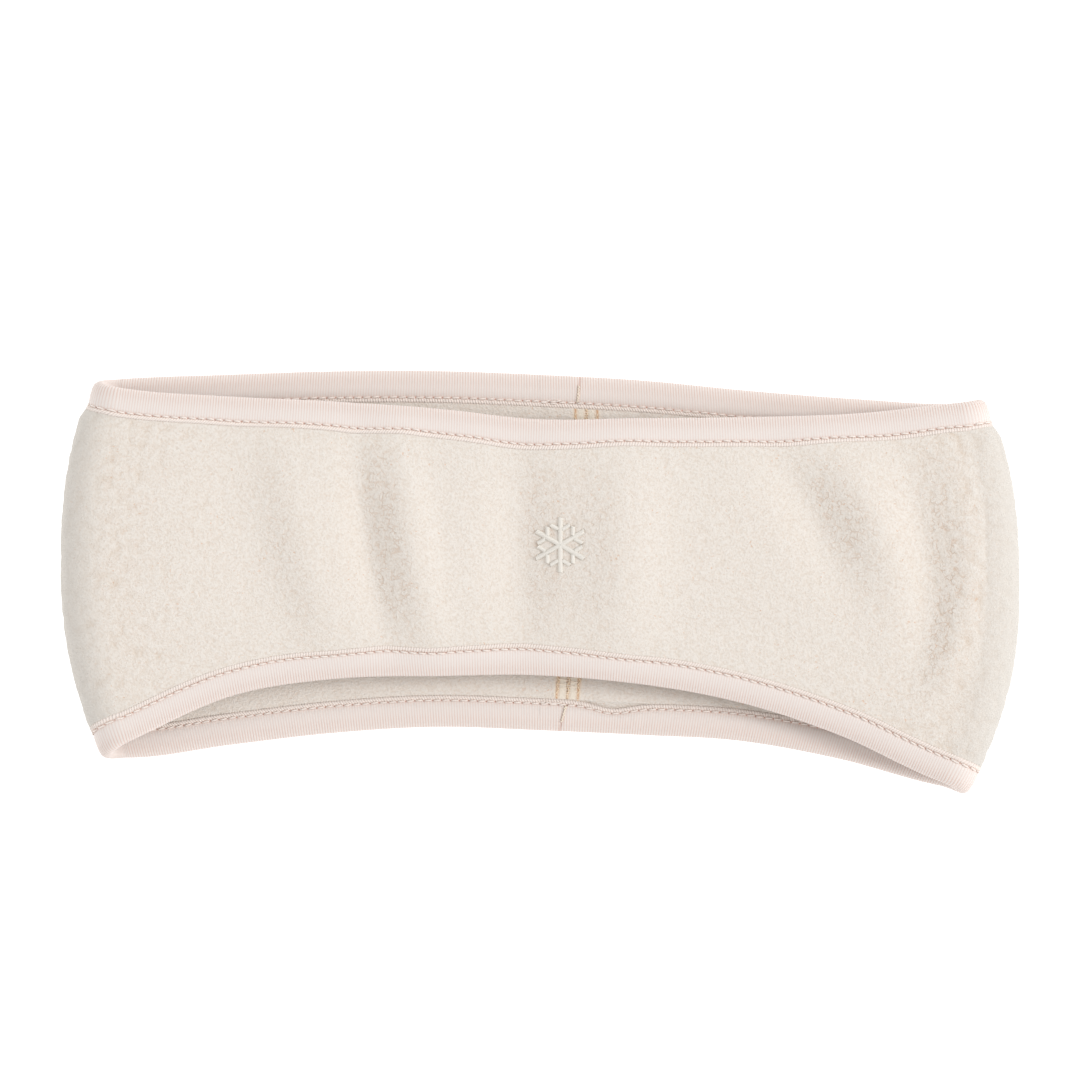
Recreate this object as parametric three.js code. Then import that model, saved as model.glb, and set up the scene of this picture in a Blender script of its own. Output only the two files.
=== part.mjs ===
// An ear warmer headband, laid flat on its back.
// One strip of fleece is sewn into a loop at the centre back. A ribbed elastic binding is folded over
// each of its two edges and stitched through. Laid down, the loop folds at its two sides: the back panel
// is flat on the surface, and the front panel arches over it, held up by the roll of the side folds.
//
// Millimetres, +Z up. X runs along the flattened band, +Y points to its top edge, and the front panel
// faces +Z. The origin is on the surface under the middle of the band.

import * as THREE from "three";

// The laid band
const flatWidth = 254; // widest, from side fold to side fold
const laidLength = 112; // from the lowest corner to the highest point of the back panel

// The cloth
const fleeceThickness = 2.6;
const pressedThickness = 2.0; // the fleece inside a binding
const pressedRun = 0.6; // past a binding's edge to where the fleece starts to swell and settle
const puffRun = 4.5; // past a binding's edge to where the fleece has its full thickness
const flareStart = 6.5; // from a finished edge to where the cloth swells out of a drawn-in corner
const flareRun = 4; // and how far on it has swelled out
const settleRun = 12; // past a binding's edge to where the fleece touches the surface

// The bindings
const bindingWidth = 8.6; // from the finished edge to the tape's edge, on each face
const bindingWall = 1.0;
const bindingGap = 0.3; // between tape and fleece
const stitchInset = 1.5; // from the tape's edge to its row of stitches
const stitchGroove = 0.35; // how far the stitches pull the tape in

// The side folds
const edgeFoldRadius = 4.8; // bend of the middle of the cloth at the finished edges
const rollRadius = 8.2; // and halfway between them, where the fleece rolls out
const rollSharpness = 2.6; // how late the roll gives way to the edges' tighter bend
const foldHalf = 7; // degrees of the way round that a side fold takes, on each side of its middle

// The front panel
const frontSag = 1.6; // how far its middle sinks below the rolls
const dentDepth = 3.6; // about the deepest soft dent
const swellFade = 12; // how late the swells and dents fade out towards the folds

const fleeceColour = 0xebe3d8;
const bindingColour = 0xf0ddd5;

// Where the finished edges run, in shares of laidLength from the middle of the laid band.
// across is -1 where the left side fold begins and 1 where the right one begins.
const outlineRows = [
  { across: -1, frontTop: 0.457, frontBottom: -0.378, backTop: 0.481, backBottom: -0.419 },
  { across: -0.75, frontTop: 0.437, frontBottom: -0.27, backTop: 0.491, backBottom: -0.388 },
  { across: -0.5, frontTop: 0.425, frontBottom: -0.229, backTop: 0.499, backBottom: -0.36 },
  { across: -0.25, frontTop: 0.408, frontBottom: -0.222, backTop: 0.5, backBottom: -0.346 },
  { across: 0, frontTop: 0.383, frontBottom: -0.221, backTop: 0.491, backBottom: -0.354 },
  { across: 0.25, frontTop: 0.385, frontBottom: -0.241, backTop: 0.477, backBottom: -0.365 },
  { across: 0.5, frontTop: 0.388, frontBottom: -0.285, backTop: 0.453, backBottom: -0.379 },
  { across: 0.75, frontTop: 0.396, frontBottom: -0.363, backTop: 0.434, backBottom: -0.422 },
  { across: 1, frontTop: 0.422, frontBottom: -0.472, backTop: 0.423, backBottom: -0.485 },
];

// The corners, where the edges pass the middles of the left (-1) and right (1) side folds: the same
// height, how far the binding draws the corner in, in shares of flatWidth, its slant as it folds over,
// and how late the open fleece swells out again past it.
const cornerRows = [
  { side: -1, edge: "top", height: 0.474, draw: 0.035, slant: 0.3, sharpness: 2.6 },
  { side: -1, edge: "bottom", height: -0.416, draw: 0.043, slant: 0.42, sharpness: 2.1 },
  { side: 1, edge: "top", height: 0.43, draw: 0.0355, slant: 0.32, sharpness: 2.85 },
  { side: 1, edge: "bottom", height: -0.499, draw: 0.0545, slant: 0.62, sharpness: 2.15 },
];

// The front panel's soft swells (rise above 0) and dents (below 0), as smooth ridges.
// across is as above, up runs from 0 at the bottom edge to 1 at the top edge, lean is in degrees,
// clockwise from upright, wide is a share of flatWidth, long of laidLength, and rise of dentDepth.
const swellRows = [
  { name: "left_dent", across: -0.66, up: 0.55, lean: -16, wide: 0.05, long: 0.34, rise: -0.4 },
  { name: "left_swell", across: -0.53, up: 0.45, lean: -16, wide: 0.028, long: 0.32, rise: 0.4 },
  { name: "crease_dent", across: -0.395, up: 0.52, lean: -10, wide: 0.022, long: 0.32, rise: -0.75 },
  { name: "crease_swell", across: -0.285, up: 0.5, lean: -10, wide: 0.024, long: 0.32, rise: 0.75 },
  { name: "centre_dent", across: -0.05, up: 0.5, lean: 0, wide: 0.04, long: 0.36, rise: -0.95 },
  { name: "centre_swell", across: 0.19, up: 0.5, lean: 0, wide: 0.048, long: 0.36, rise: 0.9 },
  { name: "right_dent", across: 0.6, up: 0.7, lean: -34, wide: 0.03, long: 0.17, rise: -0.8 },
  { name: "right_swell", across: 0.745, up: 0.7, lean: -34, wide: 0.03, long: 0.17, rise: 0.8 },
  { name: "end_dent", across: 0.87, up: 0.52, lean: -10, wide: 0.028, long: 0.26, rise: -0.8 },
  { name: "end_swell_top", across: 0.98, up: 0.7, lean: -8, wide: 0.024, long: 0.16, rise: 0.95 },
  { name: "end_swell_low", across: 0.945, up: 0.34, lean: 25, wide: 0.024, long: 0.18, rise: 0.95 },
];

// Facets
const frontSteps = 40;
const backSteps = 16;
const foldSteps = 10;
const openRows = 6; // across the open fleece, between its puffed margins
const capSteps = 4; // round a folded edge

// Steps that directions of the cloth are taken over
const aroundStep = 0.05; // degrees
const upStep = 0.002; // share of the height

const clothHalf = fleeceThickness / 2;
const pressedHalf = pressedThickness / 2;
const channelHalf = pressedHalf + bindingGap; // half the room inside a binding
const bindingHalf = channelHalf + bindingWall; // half the thickness of a bound edge
const tapeEnd = bindingWidth + pressedRun;
const coveredMiddle = (bindingHalf + tapeEnd) / 2; // where tape and fleece bend together

const lerp = THREE.MathUtils.lerp;
const smoothstep = THREE.MathUtils.smoothstep;

// A smooth closed curve of values over the way round, in degrees, through the given rows.
function closedCurve(rows, column) {
  const count = rows.length;
  const knot = (i) => rows[(i + count) % count].around + 360 * Math.floor(i / count);
  const value = (i) => rows[(i + count) % count][column];
  const chord = (i) => (value(i + 1) - value(i)) / (knot(i + 1) - knot(i));
  const slope = (i) => {
    const before = knot(i) - knot(i - 1);
    const after = knot(i + 1) - knot(i);
    return (chord(i - 1) * after + chord(i) * before) / (before + after);
  };
  return (around) => {
    const start = knot(0);
    const place = start + THREE.MathUtils.euclideanModulo(around - start, 360);
    let i = 0;
    while (knot(i + 1) <= place) i += 1;
    const gap = knot(i + 1) - knot(i);
    const t = (place - knot(i)) / gap;
    const leave = slope(i) * gap;
    const arrive = slope(i + 1) * gap;
    const rise = value(i + 1) - value(i);
    return value(i) + t * (leave + t * (3 * rise - 2 * leave - arrive + t * (leave + arrive - 2 * rise)));
  };
}

// The way round starts at the centre back (0 degrees) and passes the right side fold (90), the centre
// front (180) and the left side fold (270).
const panelHalf = 90 - foldHalf;

const corner = (side, edge) => cornerRows.find((row) => row.side === side && row.edge === edge);
const foldHeights = (side) => ({
  top: corner(side, "top").height,
  bottom: corner(side, "bottom").height,
});

const edgeRows = [
  ...outlineRows.map((row) => ({
    around: row.across * panelHalf,
    top: row.backTop,
    bottom: row.backBottom,
  })),
  { around: 90, ...foldHeights(1) },
  ...outlineRows.toReversed().map((row) => ({
    around: 180 - row.across * panelHalf,
    top: row.frontTop,
    bottom: row.frontBottom,
  })),
  { around: 270, ...foldHeights(-1) },
];
const topShare = closedCurve(edgeRows, "top");
const bottomShare = closedCurve(edgeRows, "bottom");
const frontHeight = (topShare(180) - bottomShare(180)) * laidLength; // at its middle

// Where a place on the way round lies: on the back or front panel, at a share across it, or in a side
// fold, at a turn from 0 at the back to PI at the front.
function placeRound(around) {
  const degrees = THREE.MathUtils.euclideanModulo(around + 180, 360) - 180;
  const side = degrees < 0 ? -1 : 1;
  const fromBack = Math.abs(degrees);
  if (fromBack <= panelHalf) return { panel: "back", side, across: degrees / panelHalf };
  if (fromBack >= 180 - panelHalf) {
    return { panel: "front", side, across: (side * (180 - fromBack)) / panelHalf };
  }
  return { panel: "fold", side, turn: ((fromBack - panelHalf) / (2 * foldHalf)) * Math.PI };
}

// Height of the front panel's swells and dents at a place on it. They fade out at the folds and edges.
function swell(across, up, nearEdge) {
  let height = 0;
  for (const row of swellRows) {
    const lean = THREE.MathUtils.degToRad(row.lean);
    const dx = ((across - row.across) * flatWidth) / 2;
    const dy = (up - row.up) * frontHeight;
    const side = dx * Math.cos(lean) - dy * Math.sin(lean);
    const along = dx * Math.sin(lean) + dy * Math.cos(lean);
    const reach = (side / (row.wide * flatWidth)) ** 2 + (along / (row.long * laidLength)) ** 2;
    height += row.rise * dentDepth * Math.exp(-reach);
  }
  return height * (1 - nearEdge) * (1 - across ** swellFade);
}

// How far the middle of the cloth stands off the surface that the back panel lies on, by its distance
// from the nearer finished edge.
function standOff(distance) {
  const settled = smoothstep(distance, tapeEnd, bindingWidth + settleRun);
  return lerp(bindingHalf, clothHalf, settled);
}

// How far the fleece has swelled up past its binding, from 0 to 1, by the same distance.
function puffed(distance) {
  return smoothstep(distance, tapeEnd, bindingWidth + puffRun);
}

// Half the fleece's thickness, by the same distance.
function fleeceHalf(distance) {
  return lerp(pressedHalf, clothHalf, puffed(distance));
}

// A point of the middle of the cloth. up runs from 0 at the bottom finished edge to 1 at the top one.
function clothMiddle(around, up) {
  const top = topShare(around) * laidLength;
  const bottom = bottomShare(around) * laidLength;
  const y = lerp(bottom, top, up);
  const offMiddle = Math.abs(2 * up - 1);
  const nearEdge = offMiddle ** rollSharpness;
  const distance = Math.min(up, 1 - up) * (top - bottom);
  const stand = standOff(distance);
  const radius = lerp(rollRadius, edgeFoldRadius, nearEdge);
  const place = placeRound(around);
  const nearest = corner(place.side, up > 0.5 ? "top" : "bottom");
  const draw = nearest.draw * flatWidth;
  const swollen = draw * offMiddle ** nearest.sharpness;
  const flared = smoothstep(distance, flareStart, flareStart + flareRun);
  const drawn = lerp(draw - nearest.slant * distance, swollen, flared);
  const outline = flatWidth / 2 - drawn;
  const inset = lerp(bindingHalf, clothHalf, flared);
  const straight = outline - inset - radius; // to where the fold begins
  if (place.panel === "fold") {
    const x = place.side * (straight + radius * Math.sin(place.turn));
    return new THREE.Vector3(x, y, stand + radius - radius * Math.cos(place.turn));
  }
  const x = place.across * straight;
  if (place.panel === "back") return new THREE.Vector3(x, y, stand);
  const sag = frontSag * (1 - nearEdge) * (1 - place.across ** 2) ** 2;
  return new THREE.Vector3(x, y, stand + 2 * radius - sag + swell(place.across, up, nearEdge));
}

// The direction along the cloth there, on the way round.
function alongCloth(around, up) {
  return clothMiddle(around + aroundStep, up).sub(clothMiddle(around - aroundStep, up));
}

// The outward normal of the cloth there.
function clothNormal(around, up) {
  const low = Math.max(up - upStep, 0);
  const high = Math.min(up + upStep, 1);
  const upwards = clothMiddle(around, high).sub(clothMiddle(around, low));
  return upwards.cross(alongCloth(around, up)).normalize();
}

// The line across the cloth at one place on the way round, from the bottom edge to the top edge. It
// meets the edges at a slant, so a distance square to an edge is longer along the line.
class AcrossCloth extends THREE.Curve {
  constructor(around) {
    super();
    this.around = around;
    this.length = this.getLength();
    this.stretchBottom = this.stretchAt(0);
    this.stretchTop = this.stretchAt(1);
  }

  getPoint(up) {
    return clothMiddle(this.around, up);
  }

  stretchAt(edge) {
    const inside = Math.abs(edge - upStep);
    const inwards = clothMiddle(this.around, inside).sub(clothMiddle(this.around, edge));
    return 1 / Math.sin(alongCloth(this.around, edge).angleTo(inwards));
  }

  // A section's point: square to the edge that it is measured from, or a share of the way between the
  // puffed margins, and then outwards from the middle of the cloth.
  place(point) {
    const margin = bindingWidth + puffRun;
    const distances = {
      bottom: point.at * this.stretchBottom,
      top: this.length - point.at * this.stretchTop,
      between: lerp(margin * this.stretchBottom, this.length - margin * this.stretchTop, point.at),
    };
    const up = this.getUtoTmapping(distances[point.from] / this.length);
    const normal = clothNormal(this.around, up);
    return this.getPoint(up).addScaledVector(normal, point.offset);
  }
}

// Sweeps a closed section round the loop and joins the last one to the first.
function sweepRound(section) {
  const positions = [];
  const index = [];
  const rows = stations.length;
  const columns = section.length;
  stations.forEach((around, row) => {
    const line = new AcrossCloth(around);
    const nextRow = (row + 1) % rows;
    section.forEach((point, column) => {
      positions.push(...line.place(point));
      const nextColumn = (column + 1) % columns;
      const a = row * columns + column;
      const b = nextRow * columns + column;
      const c = nextRow * columns + nextColumn;
      const d = row * columns + nextColumn;
      index.push(a, d, b, b, d, c);
    });
  });
  const geometry = new THREE.BufferGeometry();
  geometry.setAttribute("position", new THREE.Float32BufferAttribute(positions, 3));
  geometry.setIndex(index);
  geometry.computeVertexNormals();
  return geometry;
}

// Evenly spaced numbers from start up to, and without, end.
function spaced(start, end, steps) {
  return Array.from({ length: steps }, (_, i) => start + ((end - start) * i) / steps);
}

const stations = [
  ...spaced(-panelHalf, panelHalf, backSteps),
  ...spaced(90 - foldHalf, 90 + foldHalf, foldSteps),
  ...spaced(180 - panelHalf, 180 + panelHalf, frontSteps),
  ...spaced(270 - foldHalf, 270 + foldHalf, foldSteps),
];

// Half a circle round the end of a bound edge, from the outer face to the inner one.
function roundEnd(edge, radius) {
  return spaced(0, Math.PI, capSteps)
    .slice(1)
    .map((turn) => ({
      from: edge,
      at: bindingHalf - radius * Math.sin(turn),
      offset: radius * Math.cos(turn),
    }));
}

function fleeceSection() {
  const covered = [bindingHalf, coveredMiddle, tapeEnd];
  const face = (side) => [
    ...covered.map((at) => ({ from: "bottom", at, offset: side * fleeceHalf(at) })),
    ...[...spaced(0, 1, openRows), 1].map((at) => ({ from: "between", at, offset: side * clothHalf })),
    ...covered.toReversed().map((at) => ({ from: "top", at, offset: side * fleeceHalf(at) })),
  ];
  return [
    ...face(1),
    ...roundEnd("top", pressedHalf),
    ...face(-1).toReversed(),
    ...roundEnd("bottom", pressedHalf).toReversed(),
  ];
}

// The tape's profile on one face: its edge, the lip below the stitches, their groove and the flat.
function tapeFace(edge, side) {
  const lip = bindingWidth - stitchInset / 2;
  const groove = bindingWidth - stitchInset;
  return [
    { from: edge, at: bindingWidth, offset: side * channelHalf },
    { from: edge, at: bindingWidth, offset: side * (bindingHalf - stitchGroove) },
    { from: edge, at: lip, offset: side * bindingHalf },
    { from: edge, at: groove, offset: side * (bindingHalf - stitchGroove) },
    { from: edge, at: groove - stitchInset / 2, offset: side * bindingHalf },
    { from: edge, at: bindingHalf, offset: side * bindingHalf },
  ];
}

function bindingSection(edge) {
  const section = [
    ...tapeFace(edge, 1),
    ...roundEnd(edge, bindingHalf),
    ...tapeFace(edge, -1).toReversed(),
    { from: edge, at: coveredMiddle, offset: -channelHalf },
    { from: edge, at: bindingHalf, offset: -channelHalf },
    ...roundEnd(edge, channelHalf).toReversed(),
    { from: edge, at: bindingHalf, offset: channelHalf },
    { from: edge, at: coveredMiddle, offset: channelHalf },
  ];
  return edge === "top" ? section : section.toReversed();
}

function clothMesh(name, section, color) {
  const material = new THREE.MeshStandardMaterial({ color, roughness: 0.95, metalness: 0 });
  const mesh = new THREE.Mesh(sweepRound(section), material);
  mesh.name = name;
  return mesh;
}

const headband = new THREE.Group();
headband.name = "headband";
headband.add(clothMesh("fleece_band", fleeceSection(), fleeceColour));
headband.add(clothMesh("top_binding", bindingSection("top"), bindingColour));
headband.add(clothMesh("bottom_binding", bindingSection("bottom"), bindingColour));

export default headband;
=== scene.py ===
"""An ear warmer headband of cream fleece, laid flat, with a ribbed pink binding along both edges."""

import math

import bpy
import numpy as np
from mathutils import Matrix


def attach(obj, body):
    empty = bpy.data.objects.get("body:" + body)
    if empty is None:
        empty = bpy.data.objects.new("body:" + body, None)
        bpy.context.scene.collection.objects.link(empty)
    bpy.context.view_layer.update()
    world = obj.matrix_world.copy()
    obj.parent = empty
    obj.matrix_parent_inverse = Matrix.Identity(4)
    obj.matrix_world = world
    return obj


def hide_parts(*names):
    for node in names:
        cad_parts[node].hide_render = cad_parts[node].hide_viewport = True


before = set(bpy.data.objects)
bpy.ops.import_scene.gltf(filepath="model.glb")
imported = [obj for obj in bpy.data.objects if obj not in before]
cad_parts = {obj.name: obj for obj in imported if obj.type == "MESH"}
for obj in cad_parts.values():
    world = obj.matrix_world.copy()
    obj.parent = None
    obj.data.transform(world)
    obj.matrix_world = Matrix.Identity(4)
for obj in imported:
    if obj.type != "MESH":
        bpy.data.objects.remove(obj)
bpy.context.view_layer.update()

# Sizes are in millimetres here, and MM turns them into Blender's metres.
MM = 0.001

# The laid band
flat_width = 254.0
laid_length = 112.0

# The cloth
fleece_half = 1.3  # half its thickness in the open
pressed_half = 1.0  # and inside a binding
press_run = 0.6
flare_start = 6.5  # from the finished edge, where the cloth starts to swell out of a drawn-in corner
flare_run = 4.0
settle_run = 12.0
end_at = 1.4  # where the cut end of the cloth lies inside the folded tape
end_half = 0.7
open_from = 0.2  # from the tape's cut edge, where the open cloth starts
edge_swell = 0.42  # how far the pile swells next to the tape
edge_swell_run = 1.6

# The bindings
binding_width = 8.6
binding_half = 2.3  # half the thickness of a bound edge
tape_inner_half = 1.08  # half the room inside the folded tape
rib_pitch = 0.71
rib_steps = (0.0, 0.9, 0.9)  # one rib's heights, from its groove on
stitch_line = 7.2  # from the finished edge
stitch_pitch = 2.35
stitch_gap = 0.2  # from a hole to the end of its stitch
stitch_lean = 0.22
stitch_height = 1.72  # of its ends, from the middle of the cloth
stitch_arch = 0.3
stitch_radius = 0.1  # at its ends
stitch_swell = 0.15  # thicker than that in its middle
hole_width = 0.2
hole_depth = 0.2
lip_start = 7.35
lip_end = 8.6
lip_lean = 0.5  # how far its ridges lean along the edge, for each millimetre across it
lip_height = 1.5
lip_arch = 0.12
lip_radii = (0.24, 0.33, 0.33, 0.26)

# The joint of the tape's ends, on its inner face
joint_fade = 5.0  # how far along the edge the doubled tape thins out
joint_start = 2.6
joint_end = 7.0
joint_line = 0.3  # half width
joint_line_depth = 0.15
joint_half = 0.28  # of its zigzag
joint_corners = 13
joint_radius = 0.2
joint_lift = 0.1

# The side folds
edge_fold_radius = 4.8
roll_radius = 8.2
roll_sharpness = 2.6
fold_half = 7.0  # degrees
panel_half = 90.0 - fold_half

# The front panel
front_sag = 1.6
dent_depth = 3.6
swell_fade = 12

# Where the finished edges run, in shares of laid_length, by the place across between the side folds.
outline_columns = ("across", "front_top", "front_bottom", "back_top", "back_bottom")
outline_rows = (
    (-1, 0.457, -0.378, 0.481, -0.419),
    (-0.75, 0.437, -0.27, 0.491, -0.388),
    (-0.5, 0.425, -0.229, 0.499, -0.36),
    (-0.25, 0.408, -0.222, 0.5, -0.346),
    (0, 0.383, -0.221, 0.491, -0.354),
    (0.25, 0.385, -0.241, 0.477, -0.365),
    (0.5, 0.388, -0.285, 0.453, -0.379),
    (0.75, 0.396, -0.363, 0.434, -0.422),
    (1, 0.422, -0.472, 0.423, -0.485),
)

# The corners, where the edges pass the middles of the side folds: height in the same shares, how far
# the binding draws the corner in, in shares of flat_width, its slant, and how late the fleece swells
# out past it.
corner_columns = ("side", "edge", "height", "draw", "slant", "sharpness")
corner_rows = (
    (-1, "top", 0.474, 0.035, 0.3, 2.6),
    (-1, "bottom", -0.416, 0.043, 0.42, 2.1),
    (1, "top", 0.43, 0.0355, 0.32, 2.85),
    (1, "bottom", -0.499, 0.0545, 0.62, 2.15),
)

# The front panel's swells and dents: place across and up, lean in degrees, half width and half length
# in shares of flat_width and laid_length, and rise in shares of dent_depth.
swell_columns = ("across", "up", "lean", "wide", "long", "rise")
swell_rows = (
    (-0.66, 0.55, -16, 0.05, 0.34, -0.4),
    (-0.53, 0.45, -16, 0.028, 0.32, 0.4),
    (-0.395, 0.52, -10, 0.022, 0.32, -0.75),
    (-0.285, 0.5, -10, 0.024, 0.32, 0.75),
    (-0.05, 0.5, 0, 0.036, 0.36, -0.95),
    (0.19, 0.5, 0, 0.043, 0.36, 0.9),
    (0.6, 0.7, -34, 0.03, 0.17, -0.8),
    (0.745, 0.7, -34, 0.03, 0.17, 0.8),
    (0.87, 0.52, -10, 0.028, 0.26, -0.8),
    (0.98, 0.7, -8, 0.024, 0.16, 0.95),
    (0.945, 0.34, 25, 0.024, 0.18, 0.95),
)

# The seam at the centre back, in degrees from the middle of the back panel
seam_at_bottom = 5.0
seam_at_top = 9.4
seam_half = 3.6
seam_border = 0.4
seam_column = 2.95  # from its centre line to its outer columns of threads
seam_pitch = 1.2
seam_height = 95.0  # of the strip that its threads are spaced over
seam_ends = (0.085, 0.915)  # the share of that height between the bindings
seam_sunk = 0.02
seam_groove_depth = 0.3
seam_groove_width = 0.4
seam_line_width = 0.32
millimetres_per_degree = (flat_width / 2 - roll_radius) / panel_half

# Steps that directions of the cloth are taken over
around_step = 0.05
up_step = 0.002
line_samples = 121

rng = np.random.default_rng(7)


def lerp(a, b, t):
    return a + (b - a) * t


def smoothstep(x, low, high):
    t = np.clip((x - low) / (high - low), 0, 1)
    return t * t * (3 - 2 * t)


def column(rows, names, name):
    return np.array([row[names.index(name)] for row in rows], float)


def closed_curve(knots, values):
    """A smooth closed curve of values over the way round, in degrees."""
    start = knots[0]
    knots = np.concatenate([knots[-2:] - 360, knots, knots[:3] + 360])
    values = np.concatenate([values[-2:], values, values[:3]])
    gaps = np.diff(knots)
    chords = np.diff(values) / gaps
    slopes = (chords[:-1] * gaps[1:] + chords[1:] * gaps[:-1]) / (gaps[:-1] + gaps[1:])

    def curve(around):
        place = start + np.mod(around - start, 360)
        i = np.searchsorted(knots, place, side="right") - 1
        t = (place - knots[i]) / gaps[i]
        leave = slopes[i - 1] * gaps[i]
        arrive = slopes[i] * gaps[i]
        rise = values[i + 1] - values[i]
        bend = 3 * rise - 2 * leave - arrive
        twist = leave + arrive - 2 * rise
        return values[i] + t * (leave + t * (bend + t * twist))

    return curve


def corner(name, side, edge):
    values = {row[:2]: row[corner_columns.index(name)] for row in corner_rows}
    return values[side, edge]


def edge_curve(edge):
    """The height of one finished edge round the loop: back, right fold, front, left fold."""
    across = column(outline_rows, outline_columns, "across")
    back = column(outline_rows, outline_columns, "back_" + edge)
    front = column(outline_rows, outline_columns, "front_" + edge)
    left, right = corner("height", -1, edge), corner("height", 1, edge)
    knots = np.concatenate([across * panel_half, [90], 180 - across[::-1] * panel_half, [270]])
    return closed_curve(knots, np.concatenate([back, [right], front[::-1], [left]]))


top_share = edge_curve("top")
bottom_share = edge_curve("bottom")
front_height = (top_share(np.array(180.0)) - bottom_share(np.array(180.0))) * laid_length


def by_corner(name, side, upper):
    """The nearest corner's value for each place, by its side and whether it is in the upper half."""
    top = np.where(side < 0, corner(name, -1, "top"), corner(name, 1, "top"))
    bottom = np.where(side < 0, corner(name, -1, "bottom"), corner(name, 1, "bottom"))
    return np.where(upper, top, bottom)


def swell(across, up, near_edge):
    height = np.zeros_like(across)
    for row in swell_rows:
        place, level, lean, wide, long, rise = row
        lean = math.radians(lean)
        dx = (across - place) * flat_width / 2
        dy = (up - level) * front_height
        side = dx * math.cos(lean) - dy * math.sin(lean)
        along = dx * math.sin(lean) + dy * math.cos(lean)
        reach = (side / (wide * flat_width)) ** 2 + (along / (long * laid_length)) ** 2
        height += rise * dent_depth * np.exp(-reach)
    return height * (1 - near_edge) * (1 - across**swell_fade)


def cloth_middle(around, up):
    """Points of the middle of the cloth. up runs from 0 at the bottom edge to 1 at the top edge."""
    around, up = np.broadcast_arrays(around, up)
    top = top_share(around) * laid_length
    bottom = bottom_share(around) * laid_length
    near_edge = np.abs(2 * up - 1) ** roll_sharpness
    distance = np.minimum(up, 1 - up) * (top - bottom)
    tape_end = binding_width + press_run
    settled = smoothstep(distance, tape_end, binding_width + settle_run)
    stand = lerp(binding_half, fleece_half, settled)
    flared = smoothstep(distance, flare_start, flare_start + flare_run)
    radius = lerp(roll_radius, edge_fold_radius, near_edge)

    degrees = np.mod(around + 180, 360) - 180
    side = np.where(degrees < 0, -1.0, 1.0)
    from_back = np.abs(degrees)
    turn = np.clip((from_back - panel_half) / (2 * fold_half), 0, 1) * math.pi
    on_front = from_back >= 180 - panel_half
    front_across = side * np.minimum((180 - from_back) / panel_half, 1)
    across = np.where(from_back <= panel_half, degrees / panel_half, front_across)

    upper = up > 0.5
    draw = by_corner("draw", side, upper) * flat_width
    slant = by_corner("slant", side, upper)
    swollen = np.abs(2 * up - 1) ** by_corner("sharpness", side, upper)
    drawn = lerp(draw - slant * distance, draw * swollen, flared)
    inset = lerp(binding_half, fleece_half, flared)
    straight = flat_width / 2 - drawn - inset - radius
    sag = front_sag * (1 - near_edge) * (1 - across**2) ** 2
    lift = np.where(on_front, swell(across, up, near_edge) - sag, 0)
    x = across * straight + side * radius * np.sin(turn)
    z = stand + radius - radius * np.cos(turn) + lift
    return np.stack([x, lerp(bottom, top, up), z], axis=-1)


def along_cloth(around, up):
    return cloth_middle(around + around_step, up) - cloth_middle(around - around_step, up)


def cloth_normal(around, up):
    """The outward normal of the cloth."""
    high = cloth_middle(around, np.minimum(up + up_step, 1))
    low = cloth_middle(around, np.maximum(up - up_step, 0))
    normal = np.cross(high - low, along_cloth(around, up))
    return normal / np.linalg.norm(normal, axis=-1, keepdims=True)


class Lines:
    """Lines across the cloth from the bottom edge to the top edge, one for each place on the way round.

    They meet the edges at a slant, so a distance square to an edge is longer along its line.
    """

    def __init__(self, around):
        self.around = np.asarray(around, float)[:, None]
        self.ups = np.linspace(0, 1, line_samples)
        points = cloth_middle(self.around, self.ups[None, :])
        steps = np.linalg.norm(np.diff(points, axis=1), axis=2)
        self.runs = np.concatenate([np.zeros_like(self.around), np.cumsum(steps, axis=1)], axis=1)
        self.length = self.runs[:, -1:]
        self.stretch = {"bottom": self.stretch_at(0.0), "top": self.stretch_at(1.0)}

    def stretch_at(self, edge):
        inwards = cloth_middle(self.around, abs(edge - up_step)) - cloth_middle(self.around, edge)
        along = along_cloth(self.around, edge)
        area = np.linalg.norm(np.cross(inwards, along), axis=-1)
        return np.linalg.norm(inwards, axis=-1) * np.linalg.norm(along, axis=-1) / area

    def from_edge(self, edge, at):
        """Runs along the lines to the places that are at millimetres square to an edge."""
        run = at * self.stretch[edge]
        return run if edge == "bottom" else self.length - run

    def between(self, margin, share):
        low = self.from_edge("bottom", margin)
        return lerp(low, self.from_edge("top", margin), share)

    def place(self, runs, offset):
        ups = np.stack([np.interp(run, line, self.ups) for run, line in zip(runs, self.runs)])
        return cloth_middle(self.around, ups) + cloth_normal(self.around, ups) * offset[..., None]


def new_piece(name, points, faces, material):
    """One smooth piece. points are in millimetres, and faces are lists of their numbers."""
    mesh = bpy.data.meshes.new(name)
    mesh.from_pydata((points * MM).tolist(), [], faces)
    mesh.polygons.foreach_set("use_smooth", [True] * len(mesh.polygons))
    mesh.materials.append(material)
    mesh.update()
    piece = bpy.data.objects.new(name, mesh)
    bpy.context.scene.collection.objects.link(piece)
    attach(piece, "root")
    return piece


def store(piece, name, values):
    """Keeps a number for each vertex, for the material to read."""
    attribute = piece.data.attributes.new(name, "FLOAT", "POINT")
    attribute.data.foreach_set("value", np.asarray(values, np.float32).ravel())


def ring_faces(rows, columns, closed_rows=True):
    """Quads over a grid that is closed across its columns, and along its rows if asked."""
    row = np.arange(rows if closed_rows else rows - 1)[:, None]
    col = np.arange(columns)[None, :]
    row_after = (row + 1) % rows
    col_after = (col + 1) % columns
    corners = (
        row * columns + col,
        row * columns + col_after,
        row_after * columns + col_after,
        row_after * columns + col,
    )
    return np.stack(np.broadcast_arrays(*corners), axis=-1).reshape(-1, 4)


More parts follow.
